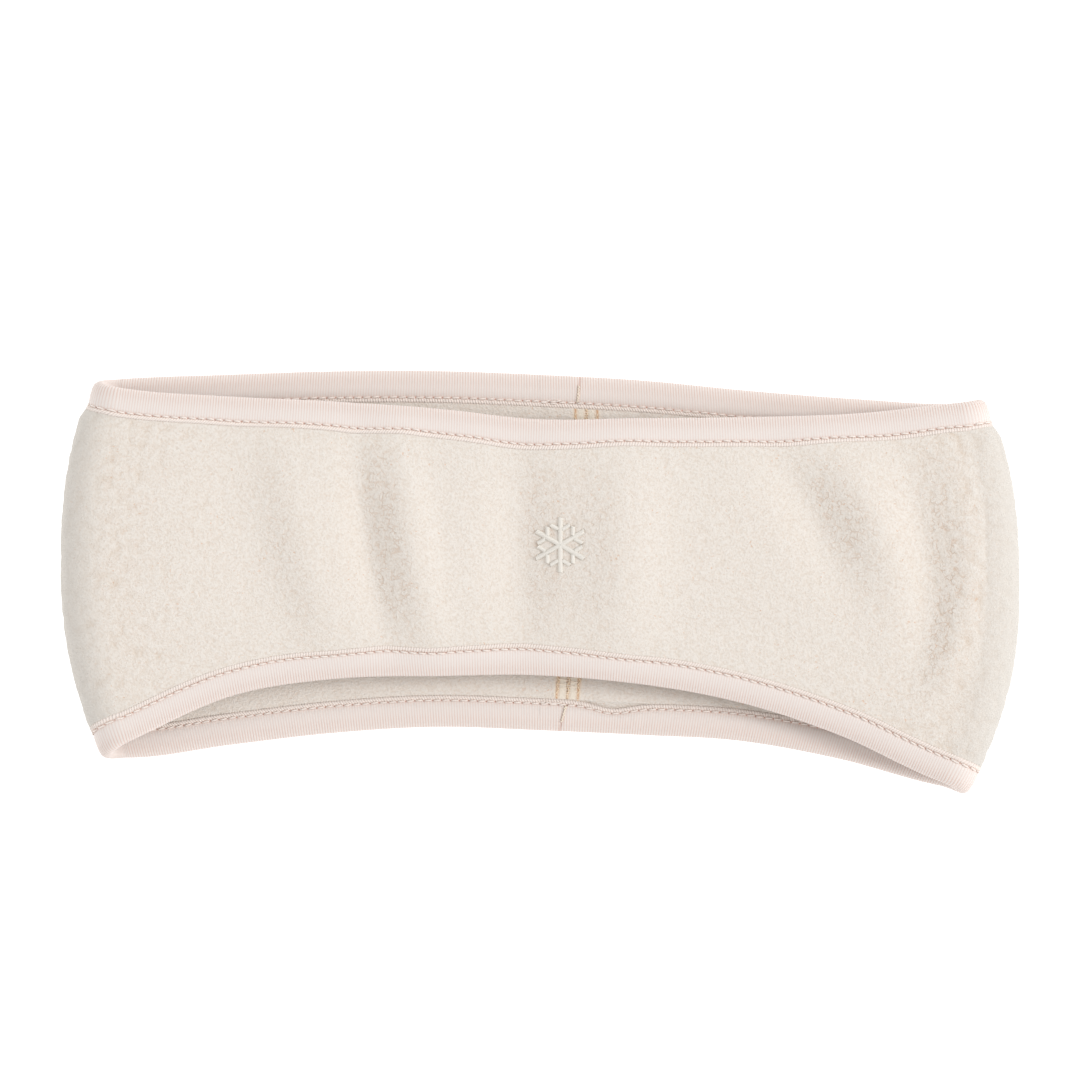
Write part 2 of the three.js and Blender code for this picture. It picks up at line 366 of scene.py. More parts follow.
def tubes(name, paths, radii, ups, material, sides=5):
    """One piece of many threads. paths is threads by points by 3, and ups points away from the cloth."""
    threads, points, _ = paths.shape
    ahead = np.gradient(paths, axis=1)
    ahead /= np.linalg.norm(ahead, axis=-1, keepdims=True)
    across = np.cross(ahead, np.broadcast_to(ups, paths.shape))
    across /= np.linalg.norm(across, axis=-1, keepdims=True)
    lift = np.cross(across, ahead)
    turn = np.arange(sides) * 2 * math.pi / sides
    ring = across[:, :, None] * np.cos(turn)[:, None] + lift[:, :, None] * np.sin(turn)[:, None]
    skin = paths[:, :, None] + ring * np.broadcast_to(radii, paths.shape[:2])[:, :, None, None]
    one = ring_faces(points, sides, closed_rows=False)
    starts = np.arange(threads)[:, None, None] * points * sides
    walls = (one[None] + starts).reshape(-1, 4).tolist()
    first = np.arange(sides)[::-1]
    last = (points - 1) * sides + np.arange(sides)
    caps = np.concatenate([first[None] + starts[:, 0], last[None] + starts[:, 0]]).tolist()
    piece = new_piece(name, skin.reshape(-1, 3), walls + caps, material)
    # How far up round each thread a point lies, which the thread materials use for painted shade
    store(piece, "height", np.broadcast_to((1 + np.sin(turn)) / 2, (threads, points, sides)))
    return piece


# Materials


class Nodes:
    """A material's nodes, with short calls to add and join them."""

    def __init__(self, name):
        self.material = bpy.data.materials.new(name)
        self.material.use_nodes = True
        self.tree = self.material.node_tree
        self.shader = self.tree.nodes["Principled BSDF"]

    def add(self, kind, **values):
        node = self.tree.nodes.new(kind)
        for name, value in values.items():
            setattr(node, name, value)
        return node

    def feed(self, node, **inputs):
        for name, value in inputs.items():
            socket = node.inputs[name.replace("_", " ")]
            if isinstance(value, bpy.types.NodeSocket):
                self.tree.links.new(value, socket)
            else:
                socket.default_value = value
        return node

    def maths(self, operation, a, b=0.0, clamp=False):
        node = self.add("ShaderNodeMath", operation=operation, use_clamp=clamp)
        for socket, value in zip(node.inputs, (a, b)):
            if isinstance(value, bpy.types.NodeSocket):
                self.tree.links.new(value, socket)
            else:
                socket.default_value = value
        return node.outputs[0]

    def product(self, a, b):
        return self.maths("MULTIPLY", a, b)

    def total(self, a, b):
        return self.maths("ADD", a, b)

    def mix(self, share, low, high):
        node = self.add("ShaderNodeMix", data_type="RGBA")
        for index, value in ((0, share), (6, low), (7, high)):
            if isinstance(value, bpy.types.NodeSocket):
                self.tree.links.new(value, node.inputs[index])
            else:
                node.inputs[index].default_value = value
        return node.outputs[2]

    def ramp(self, value, low, high):
        """0 where value is low, 1 where it is high, and smooth between them."""
        node = self.add("ShaderNodeMapRange", interpolation_type="SMOOTHSTEP")
        self.feed(node, Value=value, From_Min=low, From_Max=high)
        return node.outputs[0]

    def attribute(self, name):
        return self.add("ShaderNodeAttribute", attribute_name=name).outputs["Fac"]

    def place(self):
        return self.add("ShaderNodeTexCoord").outputs["Object"]

    def noise(self, scale, detail=2.0, roughness=0.5):
        node = self.add("ShaderNodeTexNoise")
        self.feed(node, Vector=self.place(), Scale=scale, Detail=detail, Roughness=roughness)
        return node.outputs["Fac"]

    def cell_borders(self, pitch, wobble):
        """1 on the wavy borders between cells of a random pattern, and 0 inside them."""
        waves_for_each_cell = 0.6
        noise = self.add("ShaderNodeTexNoise")
        self.feed(noise, Vector=self.place(), Scale=waves_for_each_cell / pitch, Detail=1.0)
        shift = self.add("ShaderNodeVectorMath", operation="MULTIPLY_ADD")
        shift.inputs[1].default_value = (wobble, wobble, wobble)
        self.tree.links.new(noise.outputs["Color"], shift.inputs[0])
        self.tree.links.new(self.place(), shift.inputs[2])
        cells = self.add("ShaderNodeTexVoronoi", feature="DISTANCE_TO_EDGE")
        self.feed(cells, Vector=shift.outputs[0], Scale=1 / pitch)
        return self.ramp(cells.outputs["Distance"], low=0.15, high=0.0)

    def bump(self, height, distance, strength=1.0):
        node = self.add("ShaderNodeBump")
        self.feed(node, Height=height, Distance=distance, Strength=strength)
        self.tree.links.new(node.outputs[0], self.shader.inputs["Normal"])


def srgb(red, green, blue):
    """A colour given as it looks on screen, from 0 to 255."""
    linear = [((c / 255 + 0.055) / 1.055) ** 2.4 for c in (red, green, blue)]
    return (*linear, 1.0)


fleece_crown = srgb(242, 235, 227)
# painted shade for the hollows of the pile
fleece_hollow_shade = srgb(222, 205, 188)
fleece_fleck = srgb(226, 184, 152)
# partly the crinkled pile's own colour, partly painted shade on slopes turned away from the key light
fleece_crinkle_shade = srgb(218, 188, 164)
# painted shade for the side folds
fleece_rim_shade = srgb(218, 213, 206)
fleece_seam = srgb(246, 236, 221)
# painted shade along the seam's thread columns
seam_hole_shade = srgb(212, 160, 116)
tape_crown = srgb(242, 235, 230)
# painted shade for the rib grooves, beside the stitches and under the lip
tape_groove_shade = srgb(227, 198, 185)
# painted shade inside the needle holes
tape_hole_shade = srgb(212, 134, 98)
thread_pink = srgb(247, 236, 228)
# The darker thread colours are painted shade for the threads' sides and undersides
thread_groove_shade = srgb(240, 210, 194)
thread_tan = srgb(244, 222, 192)
thread_tan_groove_shade = srgb(214, 164, 116)
thread_cream = srgb(250, 238, 222)
thread_cream_groove_shade = srgb(240, 218, 192)
thread_silver = srgb(244, 239, 231)
thread_silver_groove_shade = srgb(190, 180, 166)


def fleece_material():
    fibre_shade, pebble_shade = 0.4, 0.55
    fleck_share, crinkle_shade_share, rim_shade_share = 0.6, 0.52, 0.9
    hair_height, crinkle_depth = 0.3, 0.25
    n = Nodes("fleece")
    fibres = n.noise(scale=1500.0, roughness=0.6)
    hairs = n.noise(scale=4200.0)
    patches = n.ramp(n.noise(scale=110.0), low=0.45, high=0.65)
    flecks = n.product(n.ramp(n.noise(scale=1250.0, detail=1.0), low=0.66, high=0.76), patches)
    shade = n.product(n.ramp(fibres, low=0.62, high=0.3), fibre_shade)
    # The hollows between pebbles and the low places of the fibres are painted darker: painted shade.
    hollow_shade = n.maths("ADD", n.product(n.attribute("hollow_shade"), pebble_shade), shade, clamp=True)
    broken = n.ramp(n.noise(scale=520.0, detail=1.0), low=0.42, high=0.62)
    borders = n.cell_borders(pitch=0.0014, wobble=0.0009)
    crinkle_and_shade = n.product(n.product(borders, n.attribute("crinkle_and_shade")), broken)

    colour = n.mix(hollow_shade, fleece_crown, fleece_hollow_shade)
    colour = n.mix(n.product(flecks, fleck_share), colour, fleece_fleck)
    # The crinkles are bumped and painted darker; where they follow the dents, the darker colour is painted
    # shade.
    colour = n.mix(n.product(crinkle_and_shade, crinkle_shade_share), colour, fleece_crinkle_shade)
    # The side folds are painted greyer: painted shade.
    colour = n.mix(n.product(n.attribute("rim"), rim_shade_share), colour, fleece_rim_shade)
    colour = n.mix(n.attribute("seam"), colour, fleece_seam)
    # The seam's thread columns are painted darker: painted shade.
    colour = n.mix(n.attribute("seam_line_shade"), colour, seam_hole_shade)
    height = n.total(fibres, n.product(hairs, hair_height))
    height = n.maths("SUBTRACT", height, n.product(crinkle_and_shade, crinkle_depth))
    n.bump(height, distance=0.00038, strength=0.8)
    n.feed(n.shader, Base_Color=colour, Roughness=1.0)
    n.shader.inputs["Specular IOR Level"].default_value = 0.1
    return n.material


def tape_material():
    twill_pitch, twill_lean = 0.355, 0.5
    twill_shade, twill_height = 0.08, 0.5
    n = Nodes("binding_tape")
    place = n.total(n.attribute("along"), n.product(n.attribute("at"), twill_lean))
    twill = n.maths("SINE", n.product(place, 2 * math.pi / twill_pitch))
    shade = n.product(n.product(n.total(twill, 1.0), twill_shade), n.noise(scale=700.0))
    # The grooves are painted darker: painted shade.
    groove = n.maths("ADD", n.attribute("groove"), shade, clamp=True)
    colour = n.mix(groove, tape_crown, tape_groove_shade)
    # The needle holes and the joint line are painted darker: painted shade.
    colour = n.mix(n.attribute("hole"), colour, tape_hole_shade)
    height = n.total(n.product(twill, twill_height), n.noise(scale=3000.0))
    n.bump(height, distance=0.00004, strength=0.6)
    n.feed(n.shader, Base_Color=colour, Roughness=0.55)
    n.shader.inputs["Specular IOR Level"].default_value = 0.35
    return n.material


def thread_material(name, colour, groove, roughness):
    n = Nodes(name)
    # Each thread is painted lighter on top and darker on its sides and underside: painted shade.
    tone = n.ramp(n.attribute("height"), low=0.1, high=0.75)
    n.bump(n.noise(scale=5000.0), distance=0.00003, strength=0.5)
    n.feed(n.shader, Base_Color=n.mix(tone, groove, colour), Roughness=roughness)
    return n.material


# Fleece

# Distances between the places on the way round where the fleece has points
back_step = 2.4
seam_step = 0.5
fold_step = 0.6
front_step = 0.62
seam_zone = 6.0  # degrees on each side of the seam

# The fleece inside a binding, from its cut end: distance from the finished edge, half thickness, and
# how much of the pile shows
covered_columns = ("at", "half", "shows")
covered_rows = (
    (binding_half, pressed_half, 0.0),
    (5.5, pressed_half, 0.0),
    (8.3, pressed_half, 0.0),
    (8.65, 1.6, 0.1),
)

# The pile's pebbles: fine ones, lumps, and patches where the lumps are deeper. The shifts keep their
# patterns apart.
fine_pitch = 1.5
fine_depth = 0.1
crinkled_depth = 0.26
lump_pitch = 2.6
lump_shift = 90
lump_depth = 0.06
patch_pitch = 17.0
patch_shift = 210
patch_depth = 0.1
rim_depth = 0.22
rim_reach = 16  # degrees past the side folds
inner_shift = 300
hollow_shade_share = 0.25


def pebbles(along, across, pitch):
    """Heights from 0 in the hollows to 1 on the crowns of a pebbled pile, on a jittered grid of pebbles."""
    size = 512
    far = 9.0
    jitter = rng.random((size, size, 2))
    u, v = along / pitch, across / pitch
    cell_u, cell_v = np.floor(u).astype(int), np.floor(v).astype(int)
    nearest = np.full(u.shape, far)
    for du in (-1, 0, 1):
        for dv in (-1, 0, 1):
            point = jitter[(cell_u + du) % size, (cell_v + dv) % size]
            gap = (cell_u + du + point[..., 0] - u) ** 2 + (cell_v + dv + point[..., 1] - v) ** 2
            nearest = np.minimum(nearest, gap)
    return np.clip(1 - nearest, 0, 1)


def seam_place(up):
    return lerp(seam_at_bottom, seam_at_top, up)


def fleece_stations():
    """Places on the way round, close together where the cloth shows most."""
    seam_middle = (seam_at_bottom + seam_at_top) / 2
    fold_rate = math.pi * roll_radius / (2 * fold_half)
    stretches = (
        (-panel_half, seam_middle - seam_zone, millimetres_per_degree, back_step),
        (seam_middle - seam_zone, seam_middle + seam_zone, millimetres_per_degree, seam_step),
        (seam_middle + seam_zone, panel_half, millimetres_per_degree, back_step),
        (panel_half, 180 - panel_half, fold_rate, fold_step),
        (180 - panel_half, 180 + panel_half, millimetres_per_degree, front_step),
        (180 + panel_half, 360 - panel_half, fold_rate, fold_step),
    )
    stations = []
    for start, end, rate, step in stretches:
        count = round((end - start) * rate / step)
        stations.append(np.linspace(start, end, count, endpoint=False))
    return np.concatenate(stations)


def fleece_side(lines, count):
    """One face of the fleece from the bottom edge to the top edge: runs, half thickness and what shows."""
    covered = column(covered_rows, covered_columns, "at")
    covered_half = column(covered_rows, covered_columns, "half")
    covered_shows = column(covered_rows, covered_columns, "shows")
    low = lines.from_edge("bottom", covered)
    high = lines.from_edge("top", covered[::-1])
    middle = lines.between(binding_width + open_from, np.linspace(0, 1, count))
    from_bottom = middle / lines.stretch["bottom"]
    from_top = (lines.length - middle) / lines.stretch["top"]
    past_tape = np.minimum(from_bottom, from_top) - binding_width
    half = fleece_half + edge_swell * np.exp(-past_tape / edge_swell_run)
    ends = np.broadcast_to(covered_half, low.shape)
    shows = np.concatenate([covered_shows, np.ones(count), covered_shows[::-1]])
    return np.hstack([low, middle, high]), np.hstack([ends, half, ends[:, ::-1]]), shows


def crinkled(lines, runs):
    """How much the pile crinkles and is painted darker: most where a dent of the front rises to the right,
    which faces away from the key light, so the darker colour there is painted shade, and near its sides.
    """
    step = 0.5
    everywhere, dents, sides = 0.14, 0.7, 0.2
    up = runs / lines.length
    right = cloth_middle(lines.around - step, up)[..., 2]
    left = cloth_middle(lines.around + step, up)[..., 2]
    slope = (right - left) / (2 * step * millimetres_per_degree)
    off_middle = np.abs(lines.around - 180) / panel_half
    in_dents = smoothstep(slope, 0.0, 0.45) * (1 - smoothstep(off_middle, 0.93, 1.0))
    near_sides = smoothstep(off_middle, 0.6, 0.85) * (1 - smoothstep(off_middle, 0.95, 1.06))
    return np.clip(everywhere + dents * in_dents + sides * near_sides, 0, 1)


def fleece_relief(lines, runs, side, crinkle_and_shade):
    """How far the pile sinks between its pebbles, and how much painted shade darkens its hollows, as a
    share of the darkest.
    """
    places = cloth_middle(lines.around[:, 0], 0.5)
    steps = np.linalg.norm(np.diff(places, axis=0), axis=1)
    along = np.concatenate([[0], np.cumsum(steps)])[:, None] + inner_shift * (side < 0)
    fine = pebbles(along, runs, fine_pitch)
    lumps = pebbles(along + lump_shift, runs, lump_pitch)
    patches = pebbles(along + patch_shift, runs, patch_pitch)
    degrees = np.mod(lines.around, 180) - 90
    rim = 1 - smoothstep(np.abs(degrees), fold_half, fold_half + rim_reach)
    depth = lump_depth + patch_depth * patches + rim_depth * rim
    sunk = lerp(fine_depth, crinkled_depth, crinkle_and_shade) * (1 - fine) + depth * (1 - lumps)
    # Painted shade in the hollows between the pebbles, darkest at the side folds
    hollow_shade = (1 - lumps) * lerp(hollow_shade_share, 1, rim) + hollow_shade_share * (1 - fine)
    return sunk, np.clip(hollow_shade, 0, 1)


def make_fleece(material):
    outer_points, inner_points = 116, 30
    rim_fade = 4  # degrees past the side folds
    lines = Lines(fleece_stations())
    outer_runs, outer_half, outer_shows = fleece_side(lines, outer_points)
    inner_runs, inner_half, inner_shows = fleece_side(lines, inner_points)
    ends = np.array([end_at, end_at])
    top_end, bottom_end = lines.from_edge("top", ends), lines.from_edge("bottom", ends)
    end_offset = np.broadcast_to([end_half, -end_half], top_end.shape)
    runs = np.hstack([outer_runs, top_end, inner_runs[:, ::-1], bottom_end])
    offset = np.hstack([outer_half, end_offset, -inner_half[:, ::-1], -end_offset])
    shows = np.concatenate([outer_shows, [0, 0], inner_shows[::-1], [0, 0]])
    side = np.sign(offset)

    crinkle_and_shade = crinkled(lines, runs)
    sunk, hollow_shade = fleece_relief(lines, runs, side, crinkle_and_shade)
    off_seam = (lines.around - seam_place(runs / lines.length)) * millimetres_per_degree
    seam = 1 - smoothstep(np.abs(off_seam), seam_half, seam_half + seam_border)
    groove = seam_groove_depth * np.exp(-((off_seam / seam_groove_width) ** 2))
    sunk = lerp(sunk, seam_sunk + groove, seam) * shows
    points = lines.place(runs, offset - side * sunk)
    points[..., 2] = np.maximum(points[..., 2], 0)

    faces = ring_faces(*runs.shape).tolist()
    piece = new_piece("fleece", points.reshape(-1, 3), faces, material)
    # Painted shade along the seam's thread columns and its middle groove
    from_column = np.abs(np.abs(off_seam) - seam_column * (np.abs(off_seam) > seam_column / 2))
    seam_line_shade = np.exp(-((from_column / seam_line_width) ** 2)) * seam
    # How much the side folds are painted greyer, as painted shade
    degrees = np.mod(lines.around, 180) - 90
    rim = 1 - smoothstep(np.abs(degrees), 0, fold_half + rim_fade)
    store(piece, "hollow_shade", hollow_shade * shows)
    store(piece, "crinkle_and_shade", crinkle_and_shade * (1 - seam) * shows)
    store(piece, "seam", seam * shows)
    store(piece, "seam_line_shade", seam_line_shade * shows)
    store(piece, "rim", np.broadcast_to(rim, runs.shape) * shows)
    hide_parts("fleece_band")
    return piece


def on_cloth(around, up, offset):
    return cloth_middle(around, up) + cloth_normal(around, up) * np.asarray(offset)[..., None]


def on_front(x, y, offset):
    """Points on the front panel above the places x and y."""
    around = np.full_like(x, 180.0)
    for _ in range(3):
        top = top_share(around) * laid_length
        bottom = bottom_share(around) * laid_length
        up = (y - bottom) / (top - bottom)
        right_end = cloth_middle(np.full_like(x, 180.0 - panel_half), up)[..., 0]
        around = 180 - x / right_end * panel_half
    return on_cloth(around, up, offset)


# Bindings

measured_at = binding_half + 1.5  # the line that an edge's length is measured on

# The joint of each tape's ends and the wave of its inner face past it: their places in degrees, the
# joint's lean and the step of the doubled tape, and the wave's depth and reach
tape_values = {
    "top": (8.0, -0.12, 0.2, 9.5, 0.0, 5.0),
    "bottom": (4.0, 0.22, 0.3, 14.7, 1.8, 6.5),
}


class Tape:
    """The way round along one finished edge, measured along the edge."""

    samples = 1441

    def __init__(self, edge, joint_at, joint_lean, joint_step, wave_at, wave_depth, wave_reach):
        self.edge = edge
        self.joint_at = joint_at
        self.joint_lean = joint_lean
        self.joint_step = joint_step
        self.wave_at = wave_at
        self.wave_depth = wave_depth
        self.wave_reach = wave_reach
        self.degrees = np.linspace(0, 360, self.samples)
        lines = Lines(self.degrees)
        at = np.full((self.samples, 1), measured_at)
        places = lines.place(lines.from_edge(edge, at), np.zeros_like(at))[:, 0]
        self.runs = np.concatenate([[0], np.cumsum(np.linalg.norm(np.diff(places, axis=0), axis=1))])
        self.length = self.runs[-1]
        self.stitch_pitch = self.length / round(self.length / stitch_pitch)

    def around(self, run):
        return np.interp(np.mod(run, self.length), self.runs, self.degrees)

    def run_at(self, degrees):
        return np.interp(degrees, self.degrees, self.runs)

    def place(self, run, at, offset):
        """Points by their run along the edge, distance from it, and offset from the cloth's middle."""
        run, at, offset = np.broadcast_arrays(run, at, offset)
        lines = Lines(self.around(run.ravel()))
        points = lines.place(lines.from_edge(self.edge, at.reshape(-1, 1)), offset.reshape(-1, 1))
        return points.reshape(*run.shape, 3)


# One face of the folded tape, from its cut edge to the finished edge: distance from the finished edge,
# offset, and how deep the ribs are.
tape_columns = ("at", "offset", "ribs")
tape_rows = (
    (8.5, 1.15, 0.0),
    (8.6, 1.45, 0.0),
    (8.45, 1.66, 0.0),
    (7.9, 1.74, 0.0),
    (7.45, 1.68, 0.02),
    (7.2, 1.52, 0.03),
    (6.95, 1.64, 0.05),
    (6.6, 1.88, 0.07),
    (6.0, 2.08, 0.07),
    (5.0, 2.2, 0.08),
    (4.0, 2.26, 0.1),
    (3.1, 2.28, 0.13),
    (2.4, 2.28, 0.15),
)
cap_steps = 7
cap_ribs = 0.15
bend_steps = 4
channel_at = (2.3, 5.5, 8.0)


def tape_section():
    """The folded tape's whole section: distances, offsets, rib depths and whether each point shows."""
    at = column(tape_rows, tape_columns, "at")
    offset = column(tape_rows, tape_columns, "offset")
    ribs = column(tape_rows, tape_columns, "ribs")
    outer = offset[-1]
    turn = np.linspace(0, math.pi, cap_steps + 1)[1:-1]
    bend = np.linspace(math.pi, 0, bend_steps + 1)[1:-1]
    bend_at = binding_half - tape_inner_half * np.sin(bend)
    bend_offset = tape_inner_half * np.cos(bend)
    channel = np.array(channel_at)
    wall = np.full_like(channel, tape_inner_half)
    plain = np.zeros_like(channel)
    sections = (
        (at, offset, ribs),
        (binding_half - outer * np.sin(turn), outer * np.cos(turn), np.full_like(turn, cap_ribs)),
        (at[::-1], -offset[::-1], ribs[::-1]),
        (channel[::-1], -wall, plain),
        (bend_at, bend_offset, np.zeros_like(bend)),
        (channel, wall, plain),
    )
    at, offset, ribs = (np.concatenate(parts) for parts in zip(*sections))
    shows = np.arange(len(at)) < 2 * len(tape_rows) + cap_steps - 1
    return at, offset, ribs, shows


def lip_wave(tape, run, at):
    """How much nearer to the finished edge the tape lies on the inner face, past its joint."""
    held, free = 3.5, 7.5
    past = run - tape.run_at(tape.wave_at)
    return tape.wave_depth * np.exp(-((past / tape.wave_reach) ** 2)) * smoothstep(at, held, free)


def make_binding(name, tape, material):
    rib_shade, stitch_shade, lip_shade, line_shade = 0.9, 0.15, 0.2, 0.3
    shade_width = 0.3
    ribs = round(tape.length / rib_pitch)
    steps = len(rib_steps)
    runs = np.arange(ribs * steps) * tape.length / (ribs * steps)
    relief = np.tile(rib_steps, ribs)[:, None]
    at, offset, depth, shows = tape_section()
    face = np.sign(offset)

    pitch = tape.stitch_pitch
    to_hole = np.abs(runs / pitch - np.round(runs / pitch))[:, None] * pitch
    # Each needle hole is a small dimple, and is painted darker as painted shade.
    hole = np.exp(-((to_hole / hole_width) ** 2) - ((at - stitch_line) / hole_width) ** 2) * shows
    past_joint = runs[:, None] - tape.run_at(tape.joint_at) - tape.joint_lean * at
    on_inside = 1 - smoothstep(offset, -0.5, 1.0)
    doubled = np.where(past_joint > 0, np.exp(-np.abs(past_joint) / joint_fade), 0)
    step = tape.joint_step * doubled * (at < joint_end) * on_inside
    line = np.exp(-((past_joint / joint_line) ** 2)) * (at < joint_end + shade_width)
    sunk = depth * (1 - relief) + hole_depth * hole + joint_line_depth * line - step
    lines = Lines(tape.around(runs))
    shifted = at - lip_wave(tape, runs[:, None], at) * (offset < 0)
    points = lines.place(lines.from_edge(tape.edge, shifted), offset - face * sunk * shows)
    points[..., 2] = np.maximum(points[..., 2], 0)

    faces = ring_faces(*sunk.shape)
    if tape.edge == "bottom":
        faces = faces[:, ::-1]
    piece = new_piece(name, points.reshape(-1, 3), faces.tolist(), material)
    # Painted shade: darker in the rib grooves, beside the stitches and under the lip
    beside_stitches = np.exp(-((at - stitch_line) / shade_width) ** 2)
    under_lip = smoothstep(at, stitch_line, stitch_line + shade_width)
    groove = (1 - relief) * (depth / cap_ribs) * rib_shade
    groove = groove + stitch_shade * beside_stitches + lip_shade * under_lip
    store(piece, "groove", np.clip(groove, 0, 1) * shows)
    store(piece, "hole", np.clip(hole + line_shade * line, 0, 1) * shows)
    store(piece, "along", np.broadcast_to(runs[:, None], sunk.shape))
    store(piece, "at", np.broadcast_to(at, sunk.shape))
    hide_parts(tape.edge + "_binding")
    return piece


def threads_on_tape(name, tape, face, runs, at, height, radii, material, sides=5):
    """Threads that follow runs and distances on one face of the tape, at a height over its lip."""
    at = at - lip_wave(tape, runs, at) * (face < 0)
    offset = np.broadcast_to(face * height, runs.shape)
    paths = tape.place(runs, at, offset)
    above = tape.place(runs, at, offset + face)
    return tubes(name, paths, radii, above - paths, material, sides)


def make_lip(name, tape, face, material):
    """The tape's selvedge past the stitches: a row of small slanted ridges."""
    count = round(tape.length / rib_pitch)
    share = np.linspace(0, 1, len(lip_radii))
    lean = -lip_lean if tape.edge == "bottom" else lip_lean
    at = lerp(lip_start, lip_end, share)
    runs = np.arange(count)[:, None] * tape.length / count + lean * (at - lip_start)
    height = lip_height + lip_arch * np.sin(share * math.pi)
    return threads_on_tape(name, tape, face, runs, at * np.ones_like(runs), height, lip_radii, material)


def stitch_shape():
    """Places along a stitch from 0 to 1, and how far up its arch each is."""
    share = np.linspace(0, 1, 7)
    return share, np.sin(share * math.pi) ** 0.6


def make_stitches(name, tape, face, material):
    """A row of stitches along the groove of one face of the tape."""
    pitch = tape.stitch_pitch
    count = round(tape.length / pitch)
    share, arch = stitch_shape()
    start = np.arange(count)[:, None] * pitch
    runs = start + lerp(stitch_gap, pitch - stitch_gap, share)
    lean = stitch_lean if tape.edge == "bottom" else -stitch_lean
    at = stitch_line + lean * (share - 0.5) + rng.normal(0, 0.04, (count, 1))
    height = stitch_height + stitch_arch * arch
    radii = stitch_radius + stitch_swell * arch
    return threads_on_tape(name, tape, face, runs, at, height, radii, material, sides=6)


def make_back_tack(name, tape, around_from, around_to, material):
    """Stitches sewn twice over the start of the inner row, where the two ends of the row meet."""
    tack_pitch, tack_line = 1.25, 7.35
    start = np.arange(tape.run_at(around_from), tape.run_at(around_to), tack_pitch)[:, None]
    count = len(start)
    share, arch = stitch_shape()
    length = rng.uniform(1.3, 2.1, (count, 1))
    runs = start + length * share
    at = tack_line + rng.normal(0, 0.3, (count, 1)) + rng.uniform(-0.5, 0.5, (count, 1)) * (share - 0.5)
    height = stitch_height + 0.03 + stitch_arch * arch
    radii = stitch_radius + 0.14 * arch
    return threads_on_tape(name, tape, -1, runs, at, height, radii, material, sides=6)


def make_joint_threads(name, tape, material):
    """A zigzag of thread over the joint of the tape's ends, on its inner face."""
    at = np.linspace(joint_start, joint_end, joint_corners)
    across = np.where(np.arange(joint_corners) % 2 == 0, -joint_half, joint_half)
    across = across + rng.normal(0, 0.06, joint_corners)
    runs = tape.run_at(tape.joint_at) + tape.joint_lean * at + across
    share = np.linspace(0, 1, 4)
    run_lines = lerp(runs[:-1, None], runs[1:, None], share)
    at_lines = lerp(at[:-1, None], at[1:, None], share)
    face_at = column(tape_rows, tape_columns, "at")[:2:-1]
    face_offset = column(tape_rows, tape_columns, "offset")[:2:-1]
    height = np.interp(at_lines, face_at, face_offset) + joint_lift + tape.joint_step / 2
    return threads_on_tape(name, tape, -1, run_lines, at_lines, height, joint_radius, material)


# The seam at the centre back


def make_seam(name, columns, lean, radius, material):
    """Columns of short slanted threads on the inner face, from one binding to the other."""
    thread_length = 0.95  # as a share of their pitch
    thread_arch = 0.22
    pitch = seam_pitch / seam_height
    ups = np.arange(*seam_ends, pitch)
    share = np.linspace(0, 1, 5)
    arch = np.sin(share * math.pi) ** 0.7
    side = np.where(np.arange(len(ups)) % 2 == 0, 1.0, -1.0)[:, None]
    up = ups[:, None] + (share - 0.5) * pitch * thread_length
    height = np.broadcast_to(-(fleece_half - 0.05 + thread_arch * arch), up.shape)
    paths, above = [], []
    for place in columns:
        off = place + side * lean * (share - 0.5) + rng.normal(0, 0.06, (len(ups), 1))
        around = seam_place(up) + off / millimetres_per_degree
        paths.append(on_cloth(around, up, height))
        above.append(on_cloth(around, up, height - 1))
    paths = np.concatenate(paths)
    above = np.concatenate(above)
    return tubes(name, paths, radius, above - paths, material)


def make_cover_threads(name, radius, material):
    """Threads that cross the seam from one outer column to the other."""
    lean = 0.004  # up the seam, as a share of its height
    wave = 0.08
    ups = np.arange(*seam_ends, seam_pitch / 2 / seam_height)[:, None]
    share = np.linspace(-1, 1, 7)
    up = ups + share * lean * np.where(np.arange(len(ups)) % 2 == 0, 1, -1)[:, None]
    around = seam_place(up) + share * seam_column / millimetres_per_degree
    height = np.broadcast_to(-(fleece_half + 0.02 + wave * np.cos(share * 3 * math.pi)), up.shape)
    paths = on_cloth(around, up, height)
    above = on_cloth(around, up, height - 1)
    return tubes(name, paths, radius, above - paths, material)


# The ornament at the centre front: a snowflake in satin stitch

ornament_centre = (5.7, 9.7)
ornament_reach = 7.2
arm_from = 0.1
arm_half = 0.6
branch_from = 3.8
branch_foot = 0.6
branch_end = 2.9
branch_half = 0.5
satin_spacing = 0.27
satin_slip = 0.14  # how far its threads lean along their bar
satin_radius = 0.18
satin_rise = 0.4
satin_points = 6


def satin_bar(start, end, half_width):
    """Paths of the threads that lie side by side across a bar."""
    length = np.linalg.norm(end - start)
    ahead = (end - start) / length
    side = np.array([-ahead[1], ahead[0]])
    count = max(2, round(length / satin_spacing))
    middle = start + ahead * (np.arange(count)[:, None] + 0.5) * length / count
    width = half_width * (1 + rng.normal(0, 0.05, (count, 1)))
    share = np.linspace(-1, 1, satin_points)
    slip = ahead * satin_slip
    return middle[:, None] + (side * width)[:, None] * share[:, None] + slip * share[:, None]


